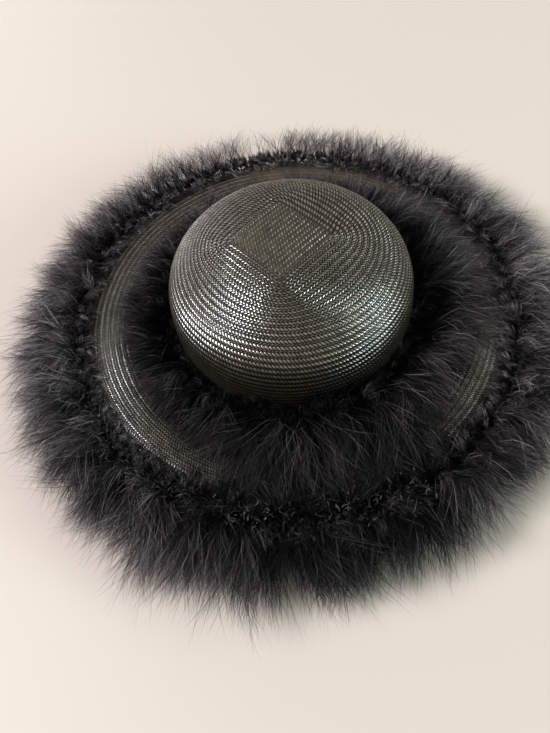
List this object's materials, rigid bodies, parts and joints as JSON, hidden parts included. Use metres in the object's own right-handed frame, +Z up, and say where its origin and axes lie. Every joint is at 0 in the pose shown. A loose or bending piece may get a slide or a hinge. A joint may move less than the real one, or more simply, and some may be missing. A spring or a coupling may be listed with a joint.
{
  "type": "straw hat with marabou trim",
  "caption": "Wide-brimmed hat of glazed dark straw: flattened round crown, brim that rises and rolls down at its edge, rings of black down round the crown and over the edge",
  "frame": {"origin": "under the middle of the crown, on the surface that the hat rests on", "axes": "+Z up along the axis of the crown, -Y towards the front of the hat as pictured, +X to the right as seen from the front"},
  "size_m": [0.4428, 0.4428, 0.097],
  "materials": {
    "straw": "satin",
    "marabou": "matte"
  },
  "bodies": {
    "root": {"crown": "straw", "brim": "straw", "crown_marabou": "marabou", "edge_marabou": "marabou"}
  },
  "joints": []
}
